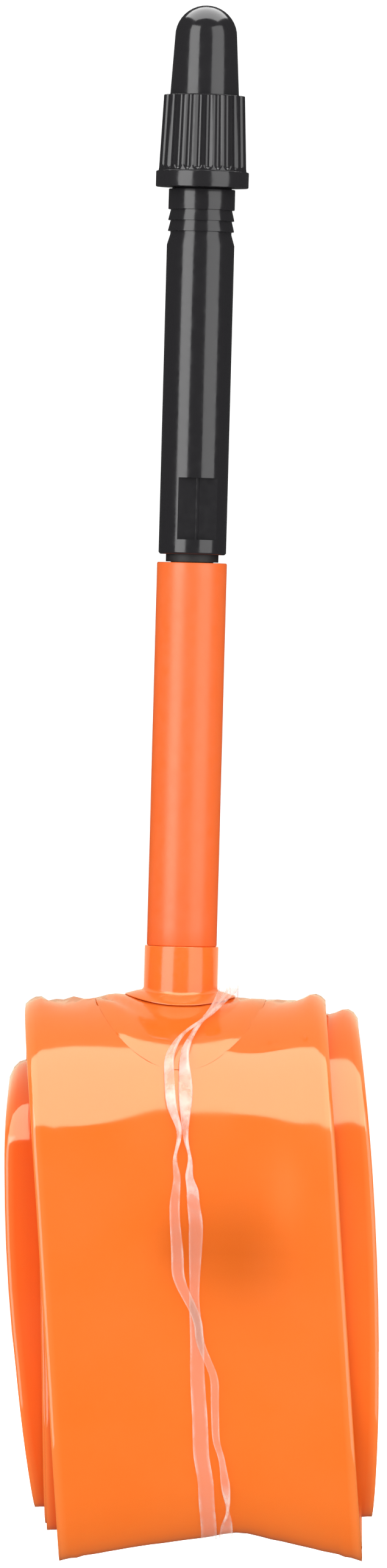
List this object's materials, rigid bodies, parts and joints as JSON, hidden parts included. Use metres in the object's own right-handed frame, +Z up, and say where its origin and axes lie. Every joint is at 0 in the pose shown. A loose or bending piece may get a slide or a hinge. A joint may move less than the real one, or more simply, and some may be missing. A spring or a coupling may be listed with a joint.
{
  "type": "bicycle inner tube",
  "caption": "Flat orange plastic inner tube wound into an oval roll held by a clear elastic band, with a long slim valve, black upper stem and ribbed screw cap.",
  "frame": {"origin": "on the valve's axis, on top of the foot's thin rim, where a wheel rim bears", "axes": "+Z up the valve, X the axis the tube is wound about, -Y the front of the roll"},
  "size_m": [0.0327, 0.0304, 0.1364],
  "materials": {
    "orange_tpu_film": "glossy film, slightly see-through",
    "orange_tpu_patch": "satin welded film",
    "orange_tpu_foot": "matt moulded",
    "orange_tpu_stem": "satin extruded",
    "black_nylon": "semi-gloss moulded",
    "black_cap_plastic": "semi-gloss moulded",
    "bush_nylon": "matt moulded",
    "brass": "turned",
    "seal_rubber": "matt",
    "clear_elastic": "clear and glossy"
  },
  "bodies": {
    "tube": {"tube_ring": "orange_tpu_film", "valve_patch": "orange_tpu_patch", "stem_foot": "orange_tpu_foot", "stem_tube": "orange_tpu_stem", "stem_bush": "bush_nylon", "elastic_band": "clear_elastic"},
    "valve": {"valve_body": "black_nylon", "neck_gasket": "seal_rubber", "core_barrel": "brass", "core_gasket": "seal_rubber"},
    "pin": {"valve_pin": "brass", "pin_seal": "seal_rubber"},
    "lock_nut": {"lock_nut": "brass"},
    "cap": {"valve_cap": "black_cap_plastic"}
  },
  "joints": [
    {"name": "body_unscrew", "type": "slide", "parent": "tube", "child": "valve", "axis": [0, 0, 1], "range_m": [0, 0.008]},
    {"name": "cap_lift", "type": "slide", "parent": "valve", "child": "cap", "axis": [0, 0, 1], "range_m": [0, 0.022]},
    {"name": "pin_press", "type": "slide", "parent": "valve", "child": "pin", "axis": [0, 0, 1], "range_m": [-0.0018, 0]},
    {"name": "nut_back_off", "type": "slide", "parent": "pin", "child": "lock_nut", "axis": [0, 0, 1], "range_m": [0, 0.0018]}
  ],
  "couplings": [
    {"joint": "nut_back_off", "follows": "pin_press", "ratio": -1}
  ]
}
